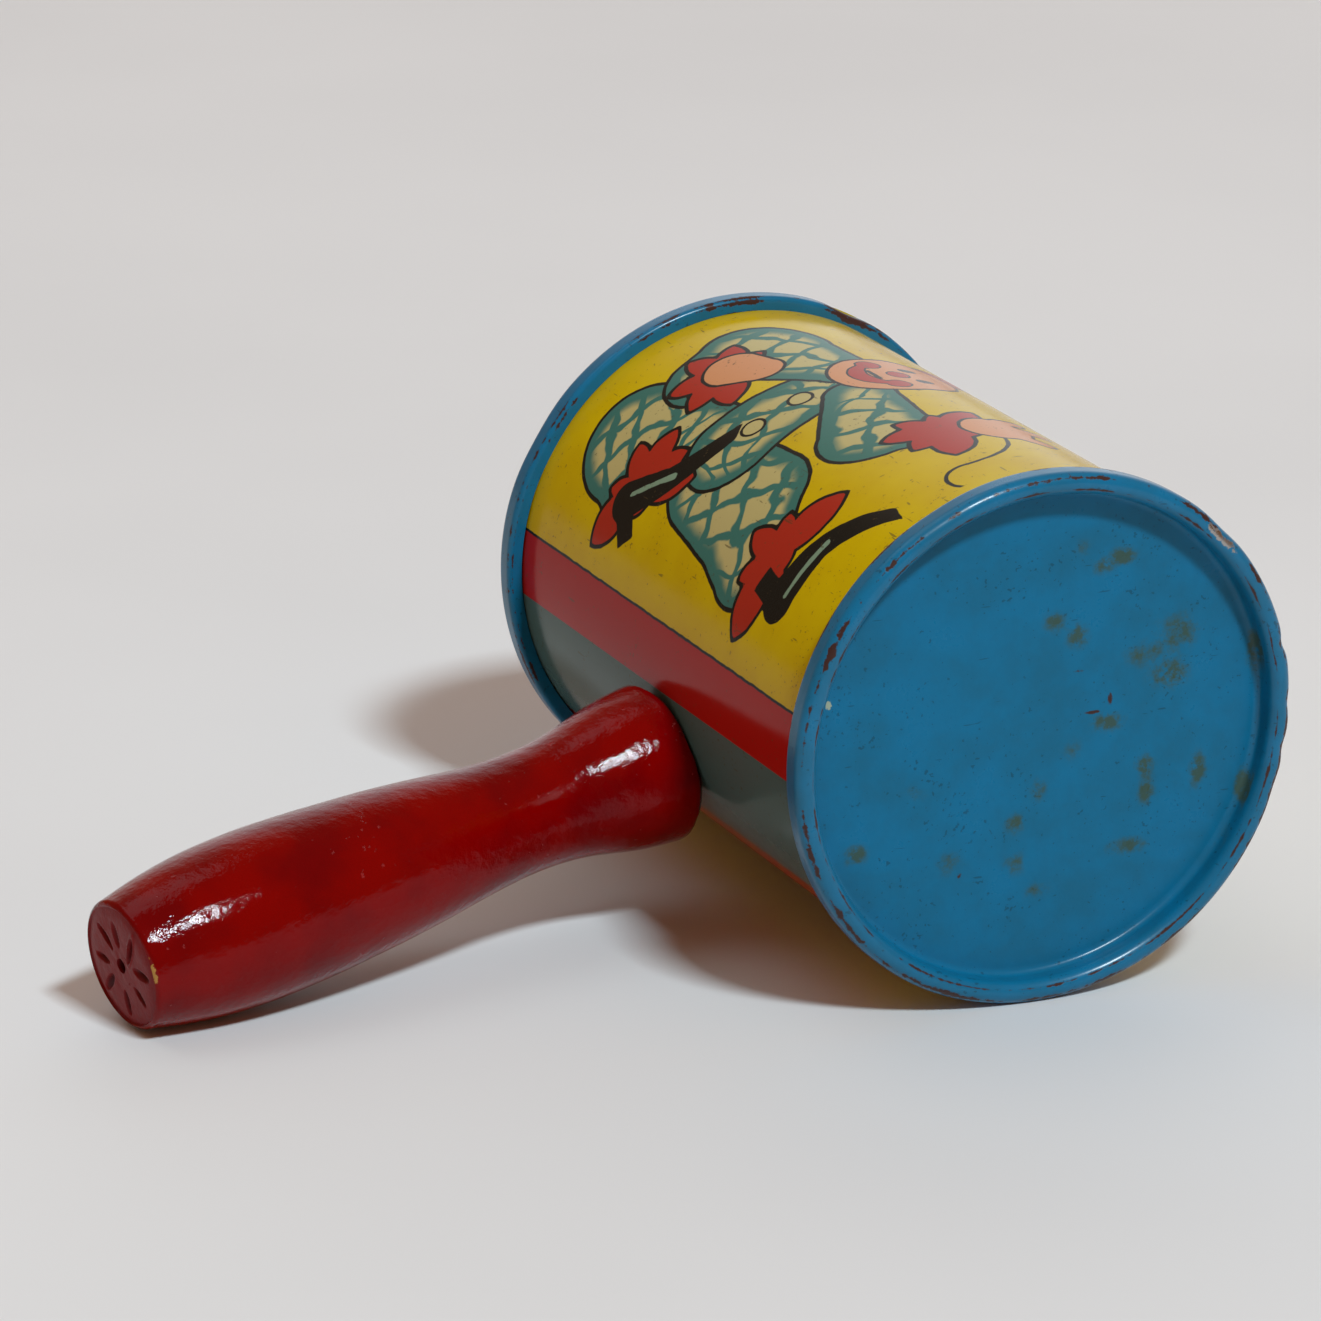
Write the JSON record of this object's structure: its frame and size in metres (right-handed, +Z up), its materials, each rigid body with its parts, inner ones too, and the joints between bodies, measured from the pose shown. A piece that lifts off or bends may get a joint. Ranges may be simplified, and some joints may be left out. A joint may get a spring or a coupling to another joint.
{
  "type": "rattle noisemaker",
  "caption": "Tinplate can rattle lying on its side: printed wall, sunk blue end caps with rolled rims, loose shot inside, and a turned red wooden handle nailed to the wall.",
  "frame": {"origin": "on the surface the rattle lies on, midway between the tip of the handle and the far side of the rims, in the can's mid-plane", "axes": "+Z up, Y along the can's axis with the front cap at -Y, the handle points towards -X"},
  "size_m": [0.1274, 0.0804, 0.06],
  "materials": {
    "printed_tinplate": "glossy varnished tin lithography, mustard ground with red and dark teal bands",
    "blue_tinplate": "satin blue enamel, worn to rust along the crest",
    "red_enamelled_wood": "high-gloss deep red enamel over turned hardwood",
    "nail_wire": "plain drawn wire",
    "steel_shot": "dull rolled steel"
  },
  "bodies": {
    "can": {"drum_wall": "printed_tinplate", "front_cap": "blue_tinplate", "rear_cap": "blue_tinplate", "handle": "red_enamelled_wood", "handle_nail": "nail_wire"},
    "shot_01": {"shot_01": "steel_shot"},
    "shot_02": {"shot_02": "steel_shot"},
    "shot_03": {"shot_03": "steel_shot"},
    "shot_04": {"shot_04": "steel_shot"},
    "shot_05": {"shot_05": "steel_shot"},
    "shot_06": {"shot_06": "steel_shot"},
    "shot_07": {"shot_07": "steel_shot"},
    "shot_08": {"shot_08": "steel_shot"},
    "shot_09": {"shot_09": "steel_shot"},
    "shot_10": {"shot_10": "steel_shot"},
    "shot_11": {"shot_11": "steel_shot"},
    "shot_12": {"shot_12": "steel_shot"}
  },
  "joints": [
    {"name": "shot_01_roll", "type": "hinge", "parent": "can", "child": "shot_01", "pos_m": [0.03371, -0.034, 0.03], "axis": [0, 1, 0], "continuous": true},
    {"name": "shot_02_roll", "type": "hinge", "parent": "can", "child": "shot_02", "pos_m": [0.03371, -0.02822, 0.03], "axis": [0, 1, 0], "continuous": true},
    {"name": "shot_03_roll", "type": "hinge", "parent": "can", "child": "shot_03", "pos_m": [0.03371, -0.02244, 0.03], "axis": [0, 1, 0], "continuous": true},
    {"name": "shot_04_roll", "type": "hinge", "parent": "can", "child": "shot_04", "pos_m": [0.03371, -0.01667, 0.03], "axis": [0, 1, 0], "continuous": true},
    {"name": "shot_05_roll", "type": "hinge", "parent": "can", "child": "shot_05", "pos_m": [0.03371, -0.01089, 0.03], "axis": [0, 1, 0], "continuous": true},
    {"name": "shot_06_roll", "type": "hinge", "parent": "can", "child": "shot_06", "pos_m": [0.03371, -0.00511, 0.03], "axis": [0, 1, 0], "continuous": true},
    {"name": "shot_07_roll", "type": "hinge", "parent": "can", "child": "shot_07", "pos_m": [0.03371, 0.00089, 0.03], "axis": [0, 1, 0], "range_deg": [-275, 48]},
    {"name": "shot_08_roll", "type": "hinge", "parent": "can", "child": "shot_08", "pos_m": [0.03371, 0.00689, 0.03], "axis": [0, 1, 0], "continuous": true},
    {"name": "shot_09_roll", "type": "hinge", "parent": "can", "child": "shot_09", "pos_m": [0.03371, 0.01367, 0.03], "axis": [0, 1, 0], "continuous": true},
    {"name": "shot_10_roll", "type": "hinge", "parent": "can", "child": "shot_10", "pos_m": [0.03371, 0.02044, 0.03], "axis": [0, 1, 0], "continuous": true},
    {"name": "shot_11_roll", "type": "hinge", "parent": "can", "child": "shot_11", "pos_m": [0.03371, 0.02722, 0.03], "axis": [0, 1, 0], "continuous": true},
    {"name": "shot_12_roll", "type": "hinge", "parent": "can", "child": "shot_12", "pos_m": [0.03371, 0.034, 0.03], "axis": [0, 1, 0], "continuous": true}
  ]
}
